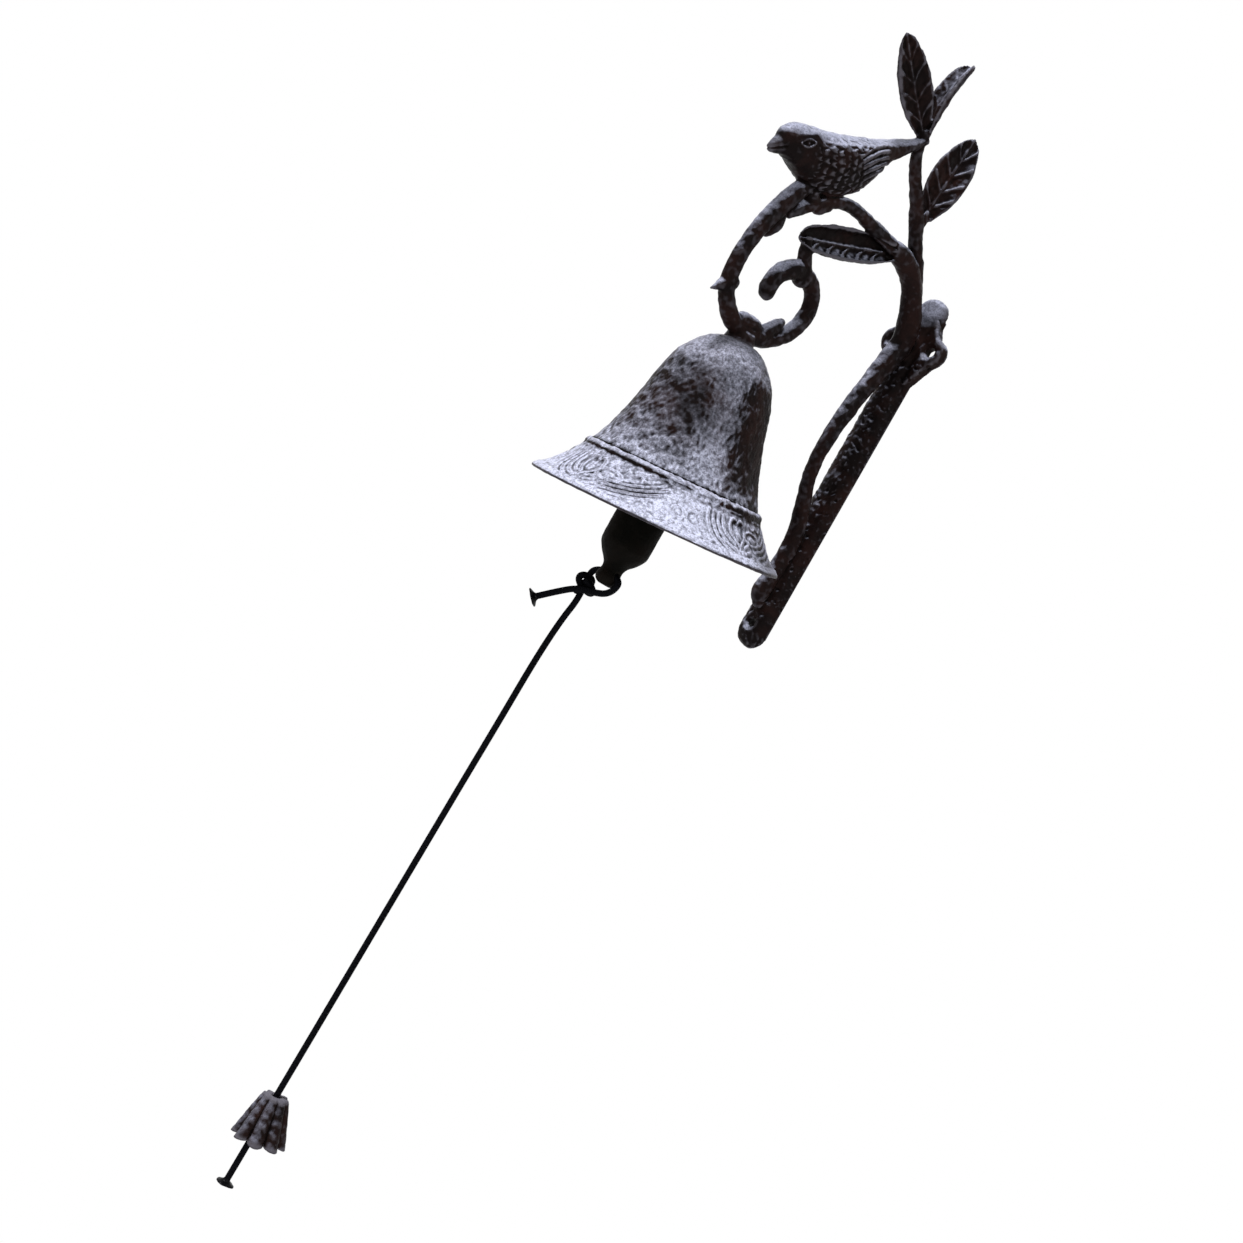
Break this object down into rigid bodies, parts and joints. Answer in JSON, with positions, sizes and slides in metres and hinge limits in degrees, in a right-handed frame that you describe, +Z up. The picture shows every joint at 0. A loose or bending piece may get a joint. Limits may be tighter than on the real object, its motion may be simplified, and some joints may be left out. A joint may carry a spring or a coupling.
{
  "type": "doorbell",
  "caption": "Wall-mounted cast-iron doorbell with a bird on a leafy scroll bracket; a cord and pull swing the clapper against the hung bell.",
  "frame": {"origin": "on the wall face, midway between the two upper screw holes", "axes": "+Z up, +Y into the wall, +X to the right when facing the wall"},
  "size_m": [0.1046, 0.1374, 0.5277],
  "materials": {
    "bracket_iron": "dark brown rust-toned cast iron, sealed with wax",
    "bell_iron": "dark brown cast iron with a coarse skin, satin",
    "clapper_iron": "dark rough cast iron",
    "pull_iron": "dark brown cast iron",
    "bolt_steel": "dull dark steel",
    "black_cord": "smooth black synthetic cord with melted ends"
  },
  "bodies": {
    "frame": {"bracket": "bracket_iron", "bell": "bell_iron", "eye_bolt": "bolt_steel", "washer": "bolt_steel", "nut": "bolt_steel"},
    "clapper": {"clapper": "clapper_iron"},
    "cord": {"pull_cord": "black_cord", "loop_cord": "black_cord", "loop_knot": "black_cord", "stop_knot": "black_cord", "pull_cord_end": "black_cord", "loop_cord_end": "black_cord", "pull": "pull_iron"}
  },
  "joints": [
    {"name": "clapper_swing", "type": "hinge", "parent": "frame", "child": "clapper", "pos_m": [0, -0.0921, -0.06423], "axis": [1, 0, 0], "range_deg": [-22.3, 36.1]},
    {"name": "cord_swing", "type": "hinge", "parent": "clapper", "child": "cord", "pos_m": [0, -0.0921, -0.14663], "axis": [1, 0, 0], "range_deg": [-45, 20]}
  ]
}
